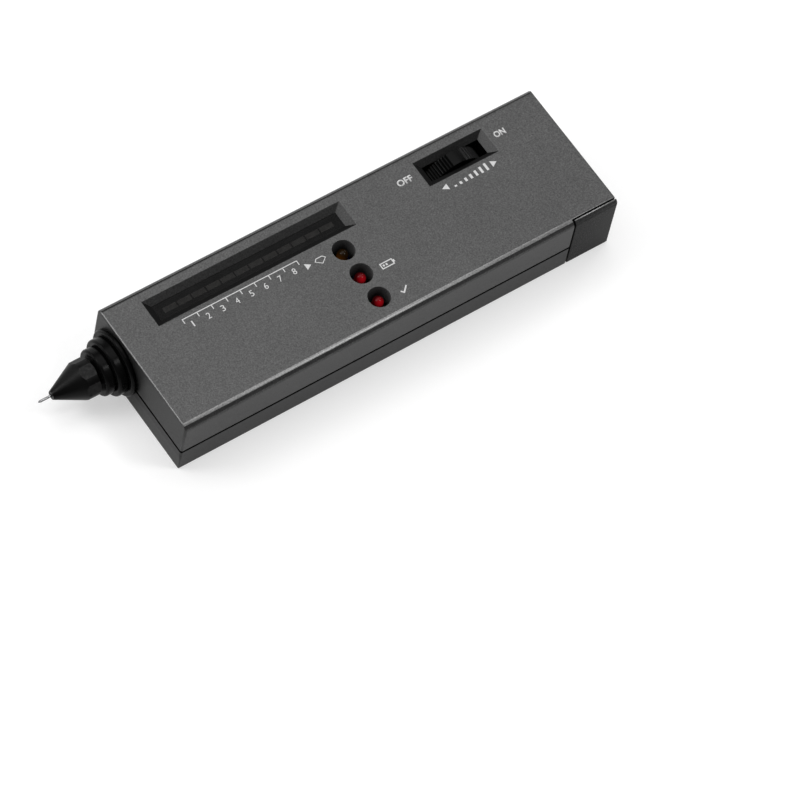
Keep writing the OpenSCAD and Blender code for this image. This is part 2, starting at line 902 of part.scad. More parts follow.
module volume_pot() {
  color([0.3, 0.22, 0.14]) difference() {
    union() {
      on_wheel(arm_y + pot_t) cylinder(r = pot_r, h = pot_t);
      translate([wheel_x - pot_r, arm_y, board_top]) cube([2 * pot_r, pot_t, wheel_z - board_top]);
    }
    on_wheel(arm_y + pot_t - pot_back) cylinder(r = pot_shaft_r + run, h = pot_t);
  }
}

module battery() {
  wide = battery_w - 2 * battery_corner;
  high = battery_t - 2 * battery_corner;
  color([0.75, 0.62, 0.2])
    translate([battery_x0, battery_y, battery_z]) along_x(battery_len) {
      square([battery_w, high], center = true);
      square([wide, battery_t], center = true);
      for (a = [-1, 1]) {
        for (b = [-1, 1]) {
          translate([a * wide / 2, b * high / 2]) circle(battery_corner);
        }
      }
    }
}

// Round stud pointing to the front
module stud(x, side, r) {
  translate([x, battery_y + side * stud_pitch / 2, battery_z]) rotate([0, -90, 0])
    cylinder(r = r, h = stud_h);
}

// Ring round a stud
module stud_ring(x, side) {
  difference() {
    stud(x, side, ring_out);
    translate([lap, 0, 0]) stud(x, side, ring_in);
    translate([-lap, 0, 0]) stud(x, side, ring_in);
  }
}

module battery_terminals() {
  color(steel) {
    stud(battery_x0, -1, stud_r);
    stud_ring(battery_x0, 1);
  }
}

module snap_contacts() {
  color(steel) {
    stud(battery_x0 - fit, 1, stud_r);
    stud_ring(battery_x0 - fit, -1);
  }
}

module battery_snap() {
  color(black_part)
    translate([snap_x, battery_y, battery_z]) {
      translate([0, -stud_pitch / 2, -snap_r]) cube([snap_t, stud_pitch, 2 * snap_r]);
      for (side = [-1, 1]) {
        translate([0, side * stud_pitch / 2, 0]) rotate([0, 90, 0]) cylinder(r = snap_r, h = snap_t);
      }
    }
}

// Lead from the battery clip to the board
module lead(y) {
  down_x = board_x1 - wire_end;
  translate([0, y, 0]) {
    translate([down_x + wire_bend, 0, wire_z]) rotate([0, 90, 0])
      cylinder(r = wire_r, h = snap_x - down_x - wire_bend);
    translate([down_x + wire_bend, 0, wire_z - wire_bend]) rotate([90, 0, 0]) rotate([0, 0, 90])
      rotate_extrude(angle = 90) translate([wire_bend, 0]) circle(wire_r);
    translate([down_x, 0, board_top]) cylinder(r = wire_r, h = wire_z - wire_bend - board_top);
  }
}

module lead_red() {
  color([0.7, 0.08, 0.08]) lead(battery_y + wire_gap);
}

module lead_black() {
  color([0.08, 0.08, 0.08]) lead(battery_y - wire_gap);
}

// Half section of one collar ring
module ring_section(x, r, length) {
  translate([0, x + ring_r]) square([r, length - 2 * ring_r]);
  translate([0, x]) square([r - ring_r, length]);
  translate([r - ring_r, x + ring_r]) circle(ring_r);
  translate([r - ring_r, x + length - ring_r]) circle(ring_r);
}

module probe_collar() {
  r1 = ring_d / 2;
  step = ring_step / 2;
  color(black_part) on_probe() rotate_extrude() difference() {
    union() {
      for (i = [0 : 1]) {
        ring_section(collar_x0 + i * ring_pitch, r1 + i * step, ring_pitch);
      }
      ring_section(collar_x0 + 2 * ring_pitch, r1 + 2 * step, collar_len - 2 * ring_pitch);
      translate([0, -lap]) square([collar_neck_r, side_wall + collar_flange_t + fit + lap]);
      translate([0, side_wall + fit]) square([collar_flange_r, collar_flange_t]);
    }
    translate([-lap, -body_len]) square([tube_r + fit / 2 + lap, 2 * body_len]);
    translate([-body_len, -body_len]) square([body_len, 2 * body_len]);
  }
}

module nose_cone() {
  color(black_part) on_probe() rotate([0, 0, nose_turn]) intersection() {
    rotate_extrude() polygon([
      [needle_r + run, nose_x0],
      [nose_tip_d / 2, nose_x0],
      [nose_d / 2, cone_x1],
      [nose_d / 2, nose_x1 - nose_chamfer],
      [nose_d / 2 - nose_chamfer, nose_x1],
      [tube_front_r + run, nose_x1],
      [tube_front_r + run, tube_x0 - 2 * fit],
      [slider_bore_r, tube_x0 - 2 * fit],
      [slider_bore_r, nose_step_x],
      [needle_r + run, nose_step_x]
    ]);
    translate([0, 0, nose_x0 - lap])
      cylinder(r = nose_flats / 2 / cos(30), h = nose_x1 - nose_x0 + 2 * lap, $fn = 6);
  }
}

module probe_tube() {
  color(black_part) on_probe() rotate_extrude() polygon([
    [spring_bore_r, tube_x0],
    [tube_front_r, tube_x0],
    [tube_front_r, collar_x0],
    [tube_r, collar_x0],
    [tube_r, tube_x1],
    [plug_r + fit / 2, tube_x1],
    [plug_r + fit / 2, tube_x1 - plug_len],
    [stem_bore_r, tube_x1 - plug_len],
    [stem_bore_r, spring_x1],
    [spring_bore_r, spring_x1]
  ]);
}

module probe_plug() {
  color([0.85, 0.82, 0.75]) on_probe()
    translate([0, 0, tube_x1 - plug_len]) cylinder(r = plug_r, h = plug_len);
}

// Four leads from the plug down to the board
module probe_leads() {
  rise = probe_z - board_top - probe_wire_bend;
  color([0.75, 0.75, 0.2])
    for (i = [0 : 3]) {
      translate([tube_x1, probe_y - probe_wire_side + i * probe_wire_pitch, 0]) {
        translate([0, 0, probe_z]) rotate([0, 90, 0]) cylinder(r = probe_wire_r, h = probe_wire_out);
        translate([probe_wire_out, 0, probe_z - probe_wire_bend]) rotate([90, 0, 0])
          rotate_extrude(angle = 90) translate([probe_wire_bend, 0]) circle(probe_wire_r);
        translate([probe_wire_out + probe_wire_bend, 0, board_top]) cylinder(r = probe_wire_r, h = rise);
      }
    }
}

module needle() {
  start = needle_x0 + needle_point;
  color(steel) on_probe() {
    translate([0, 0, needle_x0]) cylinder(r1 = needle_r * needle_blunt, r2 = needle_r, h = needle_point);
    translate([0, 0, start]) cylinder(r = needle_r, h = slider_x1 - needle_end - start);
  }
}

module heater_sleeve() {
  color([0.88, 0.86, 0.8]) on_probe() translate([0, 0, slider_x0]) difference() {
    cylinder(r = slider_r, h = heater_len);
    translate([0, 0, -lap]) cylinder(r = needle_r + press_fit, h = heater_len + 2 * lap);
  }
}

module needle_holder() {
  color(brass) on_probe() difference() {
    union() {
      translate([0, 0, slider_x0 + heater_len]) cylinder(r = slider_r, h = slider_len - heater_len);
      translate([0, 0, slider_x1]) cylinder(r = stem_r, h = stem_len);
    }
    translate([0, 0, slider_x0]) cylinder(r = needle_r + press_fit, h = slider_len - needle_end);
    translate([0, 0, slider_x1 + stem_len - sensor_bore])
      cylinder(r = sensor_r + run, h = sensor_bore + lap);
  }
}

module thermistor() {
  color([0.75, 0.45, 0.2]) on_probe() translate([0, 0, slider_x1 + stem_len - sensor_bore]) {
    cylinder(r = sensor_r, h = sensor_len);
    translate([0, 0, sensor_len]) sphere(r = sensor_r);
  }
}

// Middle of the wire at one ring of the spring
function spring_mid(k) =
  let (turn = 360 * k / spring_rings)
  [spring_r * cos(turn), spring_r * sin(turn), spring_x0 + spring_len * k / (spring_turns * spring_rings)];

// Point on the wire's surface at one ring
function spring_point(k, j) =
  let (
    turn = 360 * k / spring_rings,
    out = spring_wire / 2 * cos(360 * j / spring_sides)
  )
  spring_mid(k) + [out * cos(turn), out * sin(turn), spring_wire / 2 * sin(360 * j / spring_sides)];

module probe_spring() {
  rings = spring_turns * spring_rings;
  points = [for (k = [0 : rings]) for (j = [0 : spring_sides - 1]) spring_point(k, j)];
  sides = [
    for (k = [0 : rings - 1])
      for (j = [0 : spring_sides - 1])
        let (
          n = (j + 1) % spring_sides,
          a = k * spring_sides,
          b = a + spring_sides
        )
        each [[a + j, a + n, b + n], [a + j, b + n, b + j]]
  ];
  start = [for (j = [1 : spring_sides - 2]) [0, j + 1, j]];
  last = rings * spring_sides;
  finish = [for (j = [1 : spring_sides - 2]) [last, last + j, last + j + 1]];
  apart = [
    for (k = [0 : rings])
      for (m = [k + spring_rings / 2 : rings])
        norm(spring_mid(k) - spring_mid(m))
  ];
  echo(least_gap_of_spring = min(apart) - spring_wire);
  color(steel) on_probe() polyhedron(points, concat(sides, start, finish));
}

in_frame() top_shell();
in_frame() bottom_shell();
in_frame() battery_cap();
in_frame() cap_foam();
in_frame() housing_screws();
in_frame() display_window();
in_frame() bar_leds();
in_frame() bar_holder();
in_frame() lamp_amber();
in_frame() lamp_red_middle();
in_frame() lamp_red_near();
in_frame() main_board();
in_frame() board_screws();
in_frame() chips();
in_frame() capacitors();
in_frame() resistors();
in_frame() transistors();
in_frame() trimmer();
in_frame() buzzer();
in_frame() volume_wheel();
in_frame() wheel_screw();
in_frame() pot_rotor();
in_frame() volume_pot();
in_frame() battery();
in_frame() battery_terminals();
in_frame() battery_snap();
in_frame() snap_contacts();
in_frame() lead_red();
in_frame() lead_black();
in_frame() probe_collar();
in_frame() nose_cone();
in_frame() probe_tube();
in_frame() probe_plug();
in_frame() probe_leads();
in_frame() needle();
in_frame() heater_sleeve();
in_frame() needle_holder();
in_frame() thermistor();
in_frame() probe_spring();
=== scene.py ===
"""Looks of a pocket gem tester: paint, prints, lamps and studio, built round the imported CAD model."""

import math

import bmesh
import bpy
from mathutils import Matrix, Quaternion, Vector


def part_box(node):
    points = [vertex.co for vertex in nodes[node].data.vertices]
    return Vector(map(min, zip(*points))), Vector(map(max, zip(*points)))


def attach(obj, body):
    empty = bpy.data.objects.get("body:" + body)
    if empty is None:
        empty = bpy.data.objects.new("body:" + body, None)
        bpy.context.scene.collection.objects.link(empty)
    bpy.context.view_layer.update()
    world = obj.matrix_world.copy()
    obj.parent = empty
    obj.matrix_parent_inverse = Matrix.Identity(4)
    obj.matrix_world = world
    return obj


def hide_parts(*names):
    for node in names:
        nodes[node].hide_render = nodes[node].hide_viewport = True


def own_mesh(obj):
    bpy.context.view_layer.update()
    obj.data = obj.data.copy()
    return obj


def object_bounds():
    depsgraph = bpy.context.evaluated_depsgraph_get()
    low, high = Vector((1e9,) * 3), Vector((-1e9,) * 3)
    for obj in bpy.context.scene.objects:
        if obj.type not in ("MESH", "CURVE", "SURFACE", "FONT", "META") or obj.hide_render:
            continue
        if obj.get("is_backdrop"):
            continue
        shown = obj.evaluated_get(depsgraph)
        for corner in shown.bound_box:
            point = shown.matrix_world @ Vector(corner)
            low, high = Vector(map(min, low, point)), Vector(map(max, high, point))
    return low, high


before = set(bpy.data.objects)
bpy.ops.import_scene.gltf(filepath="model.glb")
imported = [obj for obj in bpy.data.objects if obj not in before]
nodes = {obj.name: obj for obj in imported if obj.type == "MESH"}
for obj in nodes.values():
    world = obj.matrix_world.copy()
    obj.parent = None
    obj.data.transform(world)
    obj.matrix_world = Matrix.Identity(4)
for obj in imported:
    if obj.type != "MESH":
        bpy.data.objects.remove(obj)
cad_low, cad_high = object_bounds()

MM = 0.001
shell_low, shell_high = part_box("top_shell")
FRONT = shell_low.x
TOP = shell_high.z
HALF_W = shell_high.y
GROOVE_Z = 8.05 * MM    # foot of the groove between the two shells


def centre_of(name):
    low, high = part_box(name)
    return (low + high) / 2


LAMPS = [centre_of(name) for name in ("lamp_amber", "lamp_red_middle", "lamp_red_near")]
lamp_low, lamp_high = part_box("lamp_amber")
LAMP_TALL = (lamp_high.z - lamp_low.z) / (lamp_high.x - lamp_low.x)
COLLAR = centre_of("probe_collar")
COLLAR_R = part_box("probe_collar")[1].y - COLLAR.y


def at(x, y):
    """Place on the top face: x from the front face, y from the middle, in millimetres."""
    return Vector((FRONT + x * MM, y * MM, TOP))


# Materials

def new_material(name):
    mat = bpy.data.materials.new(name)
    mat.use_nodes = True
    tree = mat.node_tree
    return mat, tree, tree.nodes["Principled BSDF"]


def add(tree, kind, **values):
    node = tree.nodes.new(kind)
    for key, value in values.items():
        setattr(node, key, value)
    return node


def noise(tree, scale, detail=2.0, rough=0.5):
    """Noise in object space; scale is features per metre."""
    coord = add(tree, "ShaderNodeTexCoord")
    tex = add(tree, "ShaderNodeTexNoise")
    tex.inputs["Scale"].default_value = scale
    tex.inputs["Detail"].default_value = detail
    tex.inputs["Roughness"].default_value = rough
    tree.links.new(coord.outputs["Object"], tex.inputs["Vector"])
    return tex.outputs["Fac"]


def ramp(tree, fac, stops):
    """Colour ramp; stops are (position, colour or grey)."""
    node = add(tree, "ShaderNodeValToRGB")
    elements = node.color_ramp.elements
    while len(elements) < len(stops):
        elements.new(0.5)
    for element, (position, colour) in zip(elements, stops):
        if isinstance(colour, (int, float)):
            colour = (colour, colour, colour)
        element.position = position
        element.color = (*colour, 1.0)
    tree.links.new(fac, node.inputs["Fac"])
    return node.outputs["Color"]


def mix(tree, fac, a, b, blend="MIX"):
    """Colour mix; fac, a and b are sockets or values."""
    node = add(tree, "ShaderNodeMix", data_type="RGBA", blend_type=blend)
    sockets = [s for s in node.inputs if s.type == "RGBA"]
    for socket, value in zip([node.inputs[0], sockets[0], sockets[1]], (fac, a, b)):
        if isinstance(value, bpy.types.NodeSocket):
            tree.links.new(value, socket)
        elif isinstance(value, (int, float)):
            socket.default_value = value
        else:
            socket.default_value = (*value, 1.0)
    return [s for s in node.outputs if s.type == "RGBA"][0]


def reach_from(tree, space, centre, scale):
    """Distance from centre in the coordinates of space, after scaling each axis."""
    coord = add(tree, "ShaderNodeTexCoord")
    offset = add(tree, "ShaderNodeVectorMath", operation="SUBTRACT")
    offset.inputs[1].default_value = centre
    tree.links.new(coord.outputs[space], offset.inputs[0])
    scaled = add(tree, "ShaderNodeVectorMath", operation="MULTIPLY")
    scaled.inputs[1].default_value = scale
    tree.links.new(offset.outputs["Vector"], scaled.inputs[0])
    reach = add(tree, "ShaderNodeVectorMath", operation="LENGTH")
    tree.links.new(scaled.outputs["Vector"], reach.inputs[0])
    return reach.outputs["Value"]


def bump(tree, bsdf, height, strength, distance):
    node = add(tree, "ShaderNodeBump")
    node.inputs["Strength"].default_value = strength
    node.inputs["Distance"].default_value = distance
    tree.links.new(height, node.inputs["Height"])
    tree.links.new(node.outputs["Normal"], bsdf.inputs["Normal"])


def plain(name, colour, rough=0.5, metal=0.0, spread=0.12, grain=2500, bump_mm=0.01,
          rough_spread=0.08, spec=0.5):
    """Moulded or machined surface: colour and roughness vary a little with a fine grain."""
    mat, tree, bsdf = new_material(name)
    fine = noise(tree, grain, 3.0, 0.6)
    low = tuple(c * (1 - spread) for c in colour)
    high = tuple(min(1.0, c * (1 + spread)) for c in colour)
    tree.links.new(ramp(tree, fine, [(0.3, low), (0.7, high)]), bsdf.inputs["Base Color"])
    broad = noise(tree, grain / 12)
    tree.links.new(ramp(tree, broad, [(0.3, rough - rough_spread), (0.7, rough + rough_spread)]),
                   bsdf.inputs["Roughness"])
    bsdf.inputs["Metallic"].default_value = metal
    bsdf.inputs["Specular IOR Level"].default_value = spec
    bump(tree, bsdf, fine, 0.4, bump_mm * MM)
    return mat


# Painted shadow on the front face round the foot of the probe collar, set off towards the near side
SHADOW_R = COLLAR_R + 3.0 * MM    # where the dark tone ends
SHADOW_SHIFT = 1.8 * MM           # towards the near side
SHADOW_DARK = 0.28                # what is left of the paint's tone at the collar


def painted_collar_shadow(tree):
    """Painted shadow on the front face: dark round the foot of the probe collar, 1 further out."""
    centre = COLLAR - Vector((0, SHADOW_SHIFT, 0))
    reach = reach_from(tree, "Object", centre, (0.0, 1 / SHADOW_R, 1 / SHADOW_R))
    return ramp(tree, reach, [((COLLAR_R - SHADOW_SHIFT) / SHADOW_R, SHADOW_DARK), (1.0, 1.0)])


PAINT_GRAIN = 2600      # features per metre
PAINT_FLAKES = 2400
PAINT_PATCHES = 60
PAINT_METAL = 0.45


def speckled_paint(name, grey, edge=0.75, rough=0.38, collar_shadow=False):
    """Grey metallic paint with fine light and dark flakes; edge is its sheen at low angles."""
    mat, tree, bsdf = new_material(name)
    fine = noise(tree, PAINT_GRAIN, 3.0, 0.65)
    base = ramp(tree, fine, [(0.30, grey * 0.62), (0.5, grey), (0.70, grey * 1.42)])
    coord = add(tree, "ShaderNodeTexCoord")
    cells = add(tree, "ShaderNodeTexVoronoi")
    cells.inputs["Scale"].default_value = PAINT_FLAKES
    tree.links.new(coord.outputs["Object"], cells.inputs["Vector"])
    split = add(tree, "ShaderNodeSeparateColor")
    tree.links.new(cells.outputs["Color"], split.inputs["Color"])
    bright = ramp(tree, split.outputs["Red"], [(0.86, 0.0), (0.96, 0.7)])
    dark = ramp(tree, split.outputs["Green"], [(0.86, 0.0), (0.96, 0.7)])
    dots = ramp(tree, cells.outputs["Distance"], [(0.1, 1.0), (0.6, 0.0)])
    flakes = mix(tree, mix(tree, 1.0, bright, dots, "MULTIPLY"), base, (grey * 1.7,) * 3)
    shade = mix(tree, mix(tree, 1.0, dark, dots, "MULTIPLY"), flakes, (grey * 0.5,) * 3)
    patches = ramp(tree, noise(tree, PAINT_PATCHES), [(0.3, 0.96), (0.7, 1.04)])
    shade = mix(tree, 1.0, shade, patches, "MULTIPLY")
    # painted shadow round the foot of the probe collar
    if collar_shadow:
        shade = mix(tree, 1.0, shade, painted_collar_shadow(tree), "MULTIPLY")
    tree.links.new(shade, bsdf.inputs["Base Color"])
    tree.links.new(ramp(tree, fine, [(0.3, rough - 0.06), (0.7, rough + 0.08)]),
                   bsdf.inputs["Roughness"])
    bsdf.inputs["Metallic"].default_value = PAINT_METAL
    bsdf.inputs["Specular IOR Level"].default_value = 0.2
    bsdf.inputs["Specular Tint"].default_value = (edge, edge, edge, 1)
    bump(tree, bsdf, fine, 0.25, 0.02 * MM)
    return mat


paint = speckled_paint("grey_paint", 0.079)
# Painted shade: a darker copy of the paint for the sides of the upper shell
side_paint_shaded = speckled_paint("side_paint_shaded", 0.066, 0.69)
# Painted shade: a darker copy of the paint for the outside of the lower shell
low_paint_shaded = speckled_paint("low_paint_shaded", 0.051, 0.53)
# Painted shade: a darker copy of the paint for the recess walls and the lower band of the rounded near
# edges
wall_paint_shaded = speckled_paint("wall_paint_shaded", 0.041)
# Painted shade: a still darker copy of the paint for the far wall of the wheel slot
slot_paint_shaded = speckled_paint("slot_paint_shaded", 0.022, 0.45)
# Front faces: a darker copy of the paint as painted shade, with the painted shadow round the collar
front_paint_shaded = speckled_paint("front_paint_shaded", 0.051, 0.53, collar_shadow=True)
# Painted shade: a darker copy of the paint for the sides of the battery cap
cap_paint_shaded = speckled_paint("cap_paint_shaded", 0.031, 0.33)
# Painted highlight: a much lighter copy of the paint for the rounded top edges at the front and the
# near side
edge_paint_highlight = speckled_paint("edge_paint_highlight", 0.20, 0.75, 0.34)
hole_grey = plain("hole_grey", (0.055, 0.055, 0.056), 0.6, spread=0.3, spec=0.2)
seam_black = plain("seam_black", (0.001, 0.001, 0.001), 0.8, spec=0.02)
# Painted shade: black for the recess walls that face the rear or the far side
recess_shade_black = plain("recess_shade_black", (0.006, 0.006, 0.006), 0.7, spec=0.05)
inner_black = plain("inner_black", (0.006, 0.006, 0.006), 0.6, spec=0.25)
black_plastic = plain("black_plastic", (0.006, 0.006, 0.006), 0.45, bump_mm=0.015, spec=0.15)
wheel_black = plain("wheel_black", (0.002, 0.002, 0.002), 0.32, bump_mm=0.015, spec=0.07)
nose_black = plain("nose_black", (0.002, 0.002, 0.002), 0.38, bump_mm=0.015, spec=0.10)
nose_flat_grey = plain("nose_flat_grey", (0.018, 0.018, 0.018), 0.6, spread=0.5, grain=1200, bump_mm=0.015,
                   spec=0.08)
black_rubber = plain("black_rubber", (0.003, 0.003, 0.003), 0.27, bump_mm=0.015, spec=0.05)
steel = plain("steel", (0.62, 0.63, 0.65), 0.25, 1.0, 0.06, 3000)
black_steel = plain("black_steel", (0.012, 0.012, 0.013), 0.5, 0.6)
needle_steel = plain("needle_steel", (0.23, 0.23, 0.235), 0.18, 1.0, 0.1, 3000, rough_spread=0.04)
brass = plain("brass", (0.62, 0.42, 0.16), 0.3, 1.0, 0.08, 3000)
white_plastic = plain("white_plastic", (0.62, 0.62, 0.58), 0.45)
board_green = plain("board_green", (0.01, 0.075, 0.03), 0.35, spread=0.25, grain=900)
chip_black = plain("chip_black", (0.012, 0.012, 0.013), 0.55, grain=4000)
sleeve_blue = plain("sleeve_blue", (0.012, 0.02, 0.09), 0.25)
resistor_tan = plain("resistor_tan", (0.42, 0.26, 0.11), 0.35)
trimmer_blue = plain("trimmer_blue", (0.012, 0.05, 0.3), 0.4)
pot_brown = plain("pot_brown", (0.045, 0.022, 0.012), 0.6, spread=0.25, spec=0.2)
wire_red = plain("wire_red", (0.36, 0.008, 0.008), 0.35)
wire_black = plain("wire_black", (0.012, 0.012, 0.012), 0.35)
wire_yellow = plain("wire_yellow", (0.45, 0.33, 0.025), 0.35)
foam = plain("foam", (0.03, 0.03, 0.032), 0.9, spread=0.5, grain=1500, bump_mm=0.2)
ceramic = plain("ceramic", (0.7, 0.67, 0.57), 0.6)
bead = plain("bead", (0.42, 0.15, 0.035), 0.2)
print_grey = plain("print_grey", (0.54, 0.54, 0.54), 0.55, spread=0.10, grain=3000, bump_mm=0.004)
segment_grey = plain("segment_grey", (0.42, 0.40, 0.38), 0.5, spread=0.3, grain=700)


# The lamps' glow is painted light: the light from above that the domes gather, bright round one place
PAINTED_GLOW_EDGE = 0.06    # what is left of a lamp's glow at its edge


def clear_lamp(name, colour, painted_glow, centre, size):
    """Tinted plastic with a painted glow round one place, where light from above gathers in the dome;
    centre and size are shares of the lamp's box.
    """
    mat, tree, bsdf = new_material(name)
    swirl = noise(tree, 900)
    low = tuple(c * 0.75 for c in colour)
    high = tuple(min(1.0, c * 1.25) for c in colour)
    tree.links.new(ramp(tree, swirl, [(0.3, low), (0.7, high)]), bsdf.inputs["Base Color"])
    bsdf.inputs["Roughness"].default_value = 0.07
    bsdf.inputs["Specular IOR Level"].default_value = 0.10
    reach = reach_from(tree, "Generated", centre, (1.0 / size, 1.0 / size, LAMP_TALL / size))
    shade = ramp(tree, reach, [(0.2, painted_glow), (1.0, tuple(c * PAINTED_GLOW_EDGE for c in painted_glow))])
    tree.links.new(shade, bsdf.inputs["Emission Color"])
    bsdf.inputs["Emission Strength"].default_value = 1.0
    return mat


lamp_red = clear_lamp("lamp_red", (0.012, 0.0005, 0.001), (0.23, 0.002, 0.005),
                      (0.48, 0.31, 0.955), 0.40)
lamp_amber = clear_lamp("lamp_amber", (0.008, 0.004, 0.001), (0.035, 0.010, 0.0),
                        (0.25, 0.40, 0.87), 0.45)


def smoked(name):
    """Dark sheet that lets a little light through."""
    mat, tree, bsdf = new_material(name)
    cloud = noise(tree, 300)
    tree.links.new(ramp(tree, cloud, [(0.3, 0.006), (0.7, 0.010)]), bsdf.inputs["Base Color"])
    tree.links.new(ramp(tree, cloud, [(0.3, 0.48), (0.7, 0.56)]), bsdf.inputs["Roughness"])
    bsdf.inputs["Specular IOR Level"].default_value = 0.10
    bsdf.inputs["Alpha"].default_value = 0.6
    return mat


smoked_window = smoked("smoked_window")


def battery_jacket(name):
    """Black jacket with a copper band in front, at the contacts, and a bare metal rear plate."""
    mat, tree, bsdf = new_material(name)
    coord = add(tree, "ShaderNodeTexCoord")
    axes = add(tree, "ShaderNodeSeparateXYZ")
    tree.links.new(coord.outputs["Generated"], axes.inputs["Vector"])
    black, copper, metal = (0.012, 0.012, 0.013), (0.50, 0.24, 0.07), (0.40, 0.40, 0.41)
    stops = [(0.19, copper), (0.20, black), (0.975, black), (0.985, metal)]
    bands = ramp(tree, axes.outputs["X"], stops)
    fine = noise(tree, 1800, 3.0, 0.6)
    speck = ramp(tree, fine, [(0.3, 0.85), (0.7, 1.0)])
    tree.links.new(mix(tree, 1.0, bands, speck, "MULTIPLY"), bsdf.inputs["Base Color"])
    tree.links.new(ramp(tree, fine, [(0.3, 0.28), (0.7, 0.40)]), bsdf.inputs["Roughness"])
    bsdf.inputs["Metallic"].default_value = 0.5
    bump(tree, bsdf, fine, 0.3, 0.01 * MM)
    return mat


battery_skin = battery_jacket("battery_skin")

LOOKS = {
    "cap_foam": foam, "housing_screws": steel, "display_window": smoked_window,
    "bar_leds": segment_grey, "bar_holder": black_plastic, "lamp_amber": lamp_amber,
    "lamp_red_middle": lamp_red, "lamp_red_near": lamp_red, "main_board": board_green,
    "board_screws": black_steel, "chips": chip_black, "capacitors": sleeve_blue,
    "resistors": resistor_tan, "transistors": chip_black, "trimmer": trimmer_blue,
    "buzzer": black_plastic, "volume_wheel": wheel_black, "wheel_screw": steel,
    "pot_rotor": white_plastic, "volume_pot": pot_brown, "battery": battery_skin,
    "battery_terminals": steel, "battery_snap": black_plastic, "snap_contacts": steel,
    "lead_red": wire_red, "lead_black": wire_black, "probe_collar": black_rubber,
    "nose_cone": nose_black, "probe_tube": black_plastic, "probe_plug": white_plastic,
    "probe_leads": wire_yellow, "needle": needle_steel, "heater_sleeve": ceramic,
    "needle_holder": brass, "thermistor": bead, "probe_spring": steel,
}
for name, look in LOOKS.items():
    mesh = nodes[name].data
    mesh.materials.clear()
    mesh.materials.append(look)

# The wrench flats of the nose are a lighter grey; they lie a little inside the radius of its band
FLAT_MIN = 0.1 * MM
FLAT_MAX = 1.0 * MM
nose_axis = centre_of("nose_cone")
mesh = nodes["nose_cone"].data
mesh.materials.append(nose_flat_grey)
nose_r = max((v.co - nose_axis).yz.length for v in mesh.vertices)
for face in mesh.polygons:
    inset = nose_r - (face.center - nose_axis).dot(face.normal)
    face.material_index = int(abs(face.normal.x) < 0.05 and FLAT_MIN < inset < FLAT_MAX)

# The shells are painted outside and in the recesses, with darker copies of the paint and black on some
# recess walls as painted shade and a lighter paint on the rounded top edges as painted highlight; seams
# and insides are black
SHELLS = ("top_shell", "bottom_shell", "battery_cap")
SHELL_LOOKS = {
    "top": paint, "inside": inner_black, "edge": edge_paint_highlight, "hole": hole_grey, "cap": cap_paint_shaded,
    "side": side_paint_shaded, "low": low_paint_shaded, "seam": seam_black, "wall": wall_paint_shaded,
    "recess": recess_shade_black, "front": front_paint_shaded, "slot": slot_paint_shaded,
}
SLOTS = list(SHELL_LOOKS)
WHEEL_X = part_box("volume_wheel")[0].x - 5 * MM      # the wheel slot lies behind this
LAMP_HOLE = 3.1 * MM        # radius that takes in the wall of a lamp hole
RECESS = TOP - 1.9 * MM     # foot of the sloped walls of the recesses
# Depths, from the outside in, at which a face still belongs to the outside
SKIN = 0.05 * MM
SIDE_WALL = 1.2 * MM
FRONT_WALL = 0.55 * MM
REAR_WALL = 1.25 * MM
NEAR_EDGE = 2.2 * MM
CAP_LIP = 1.3 * MM


def shell_look(name, centre, normal, high):
    """Look of one face of a shell, by its place and direction."""
    cap = name == "battery_cap"
    if name == "bottom_shell" and centre.z > GROOVE_Z:
        return "seam"
    if cap and (normal.x < -0.5 or normal.z > 0.9 and centre.y > -HALF_W + CAP_LIP):
        return "inside"
    if name == "top_shell" and (normal.z < -0.5 or normal.x > 0.5 and centre.z < RECESS):
        return "inside"
    if abs(normal.z) < 0.1 and any((centre - lamp).xy.length < LAMP_HOLE for lamp in LAMPS):
        return "hole"
    front = centre.x < FRONT + FRONT_WALL
    # Painted highlight on the rounded top edge at the front and on the upper band of the near one
    if 0.3 < normal.z < 0.95 and front:
        return "edge"
    if 0.84 < normal.z < 0.985 and centre.y < -HALF_W + NEAR_EDGE:
        return "edge"
    outside = abs(centre.y) > HALF_W - SIDE_WALL or front or centre.x > high.x - REAR_WALL
    if centre.z > TOP - SKIN or centre.z < SKIN or outside:
        if normal.z > 0.45:
            # the lower band of the rounded near edges gets darker paint, as painted shade
            return "wall" if normal.z < 0.84 and centre.y < 0 else "top"
        # The front, the cap's sides, the lower shell and the sides get darker copies of the paint, as
        # painted shade
        if front:
            return "front"
        return "cap" if cap else "low" if name == "bottom_shell" else "side"
    # Recess walls: black on those facing the rear or the far side, darker paint on the others, all
    # painted shade
    if normal.z > 0.15 and centre.z > RECESS:
        if normal.x > 0.3 or normal.y > 0.3:
            return "recess"
        return "slot" if normal.y < -0.3 and centre.x > WHEEL_X else "wall"
    return "inside"


for name in SHELLS:
    mesh = nodes[name].data
    mesh.materials.clear()
    for look in SHELL_LOOKS.values():
        mesh.materials.append(look)
    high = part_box(name)[1]
    for face in mesh.polygons:
        face.material_index = SLOTS.index(shell_look(name, face.center, face.normal, high))


EDGE_ROUND = 0.10 * MM


def soften(name):
    """Rounds the hard edges of a CAD node a little, without touching its mesh."""
    obj = nodes[name]
    weld = obj.modifiers.new("weld", "WELD")
    weld.merge_threshold = 1e-6
    flat = obj.modifiers.new("flat", "DECIMATE")
    flat.decimate_type = "DISSOLVE"
    flat.angle_limit = math.radians(0.5)
    flat.delimit = {"MATERIAL"}
    round_off = obj.modifiers.new("round_off", "BEVEL")
    round_off.width = EDGE_ROUND
    round_off.segments = 2
    round_off.limit_method = "ANGLE"
    round_off.angle_limit = math.radians(35)
    round_off.use_clamp_overlap = False
    round_off.miter_outer = "MITER_ARC"
    split = obj.modifiers.new("split", "EDGE_SPLIT")
    split.split_angle = math.radians(30)
    split.use_edge_sharp = False


# Spring of the needle, of round wire; the real one shortens as the needle is pressed in, this one is
# built at the CAD node's length

SPRING_TURNS = 8
SPRING_WIRE = 0.3 * MM
SPRING_RINGS = 24
SPRING_SIDES = 10


